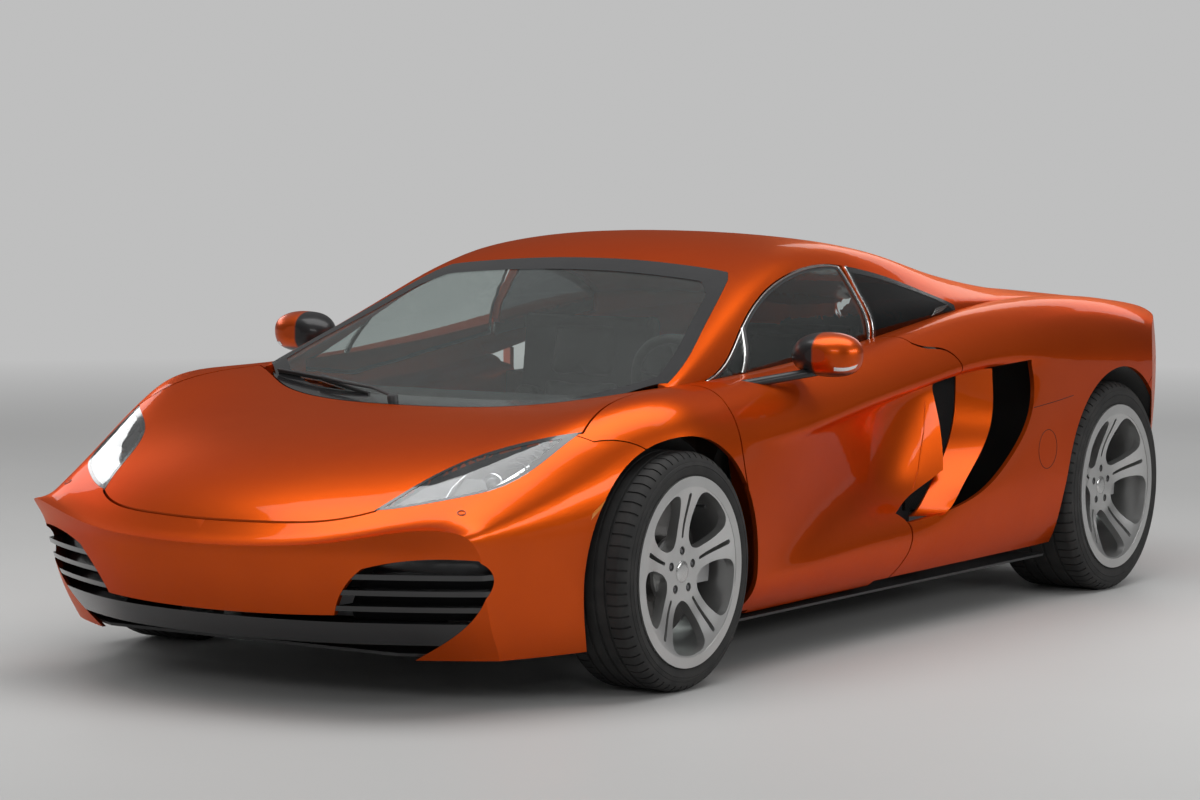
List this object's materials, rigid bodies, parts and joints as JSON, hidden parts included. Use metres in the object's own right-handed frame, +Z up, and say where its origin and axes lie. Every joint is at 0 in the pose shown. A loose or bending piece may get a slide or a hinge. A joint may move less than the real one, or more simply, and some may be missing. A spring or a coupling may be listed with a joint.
{
  "type": "mid-engined two-seat sports car",
  "caption": "Low mid-engined sports car with doors that swing up, a glazed cabin, side air intakes, double-spoke wheels and steering front wheels.",
  "frame": {"origin": "on the ground, below the middle of the body box", "axes": "+Z up, the nose towards -Y, the left side of the car towards +X"},
  "size_m": [2.0938, 4.5168, 1.1979],
  "materials": {
    "body_paint": "metallic orange, glossy",
    "glass": "tinted, clear",
    "tyre": "matt",
    "wheel_alloy": "silver lacquer",
    "cast_alloy": "cast",
    "black_plastic": "satin",
    "tub_composite": "satin weave",
    "engine_metal": "cast",
    "exhaust_steel": "brushed",
    "lamp_red": "gloss",
    "lamp_clear": "clear over dark",
    "interior_black": "matt",
    "seat_leather": "satin"
  },
  "bodies": {
    "chassis": {"cabin_tub": "tub_composite", "luggage_tub": "black_plastic", "subframes": "cast_alloy", "engine": "engine_metal", "undertray": "black_plastic", "wishbones": "cast_alloy", "rear_uprights": "cast_alloy", "front_bumper": "body_paint", "front_splitter": "black_plastic", "front_grilles": "black_plastic", "fenders": "body_paint", "scuttle": "black_plastic", "windscreen": "glass", "roof": "body_paint", "rear_quarters": "body_paint", "quarter_windows": "glass", "rear_window": "glass", "engine_cover": "body_paint", "rear_bumper": "body_paint", "rear_grille": "black_plastic", "tail_lamps": "lamp_red", "exhausts": "exhaust_steel", "headlamps": "lamp_clear", "dashboard": "interior_black", "seats": "seat_leather", "side_blades": "body_paint", "side_ducts": "black_plastic", "wheel_arch_liners": "black_plastic"},
    "bonnet": {"bonnet": "body_paint"},
    "airbrake": {"airbrake": "body_paint"},
    "door_left_body": {"door_left": "body_paint", "door_glass_left": "glass", "mirror_left": "body_paint"},
    "door_right_body": {"door_right": "body_paint", "door_glass_right": "glass", "mirror_right": "body_paint"},
    "steering_knuckle_left": {"knuckle_front_left": "cast_alloy"},
    "steering_knuckle_right": {"knuckle_front_right": "cast_alloy"},
    "steering_wheel": {"steering_wheel": "interior_black"},
    "wheel_front_left": {"tyre_front_left": "tyre", "rim_front_left": "wheel_alloy"},
    "wheel_front_right": {"tyre_front_right": "tyre", "rim_front_right": "wheel_alloy"},
    "wheel_rear_left": {"tyre_rear_left": "tyre", "rim_rear_left": "wheel_alloy"},
    "wheel_rear_right": {"tyre_rear_right": "tyre", "rim_rear_right": "wheel_alloy"}
  },
  "joints": [
    {"name": "steer_left", "type": "hinge", "parent": "chassis", "child": "steering_knuckle_left", "pos_m": [0.782, -1.3045, 0.3235], "axis": [0, 0, 1], "range_deg": [-32, 32]},
    {"name": "wheel_spin_front_left", "type": "hinge", "parent": "steering_knuckle_left", "child": "wheel_front_left", "pos_m": [0.828, -1.3045, 0.3235], "axis": [1, 0, 0], "continuous": true},
    {"name": "wheel_spin_rear_left", "type": "hinge", "parent": "chassis", "child": "wheel_rear_left", "pos_m": [0.7915, 1.3655, 0.3455], "axis": [1, 0, 0], "continuous": true},
    {"name": "door_hinge_left", "type": "hinge", "parent": "chassis", "child": "door_left_body", "pos_m": [0.944, -1.236, 0.5465], "axis": [0.4204, -0.0687, -0.9047], "range_deg": [0, 75]},
    {"name": "steer_right", "type": "hinge", "parent": "chassis", "child": "steering_knuckle_right", "pos_m": [-0.782, -1.3045, 0.3235], "axis": [0, 0, 1], "range_deg": [-32, 32]},
    {"name": "wheel_spin_front_right", "type": "hinge", "parent": "steering_knuckle_right", "child": "wheel_front_right", "pos_m": [-0.828, -1.3045, 0.3235], "axis": [1, 0, 0], "continuous": true},
    {"name": "wheel_spin_rear_right", "type": "hinge", "parent": "chassis", "child": "wheel_rear_right", "pos_m": [-0.7915, 1.3655, 0.3455], "axis": [1, 0, 0], "continuous": true},
    {"name": "door_hinge_right", "type": "hinge", "parent": "chassis", "child": "door_right_body", "pos_m": [-0.944, -1.236, 0.5465], "axis": [0.4204, 0.0687, 0.9047], "range_deg": [0, 75]},
    {"name": "bonnet_hinge", "type": "hinge", "parent": "chassis", "child": "bonnet", "pos_m": [0, -1.05511, 0.80334], "axis": [-1, 0, 0], "range_deg": [0, 55]},
    {"name": "airbrake_hinge", "type": "hinge", "parent": "chassis", "child": "airbrake", "pos_m": [0, 1.82389, 0.97519], "axis": [1, 0, 0], "range_deg": [0, 60]},
    {"name": "steering_wheel_turn", "type": "hinge", "parent": "chassis", "child": "steering_wheel", "pos_m": [0.37, -0.4285, 0.735], "axis": [0, 0.9272, 0.3746], "range_deg": [-448, 448]}
  ],
  "couplings": [
    {"joint": "steer_right", "follows": "steer_left", "ratio": 1},
    {"joint": "steering_wheel_turn", "follows": "steer_left", "ratio": 14}
  ]
}
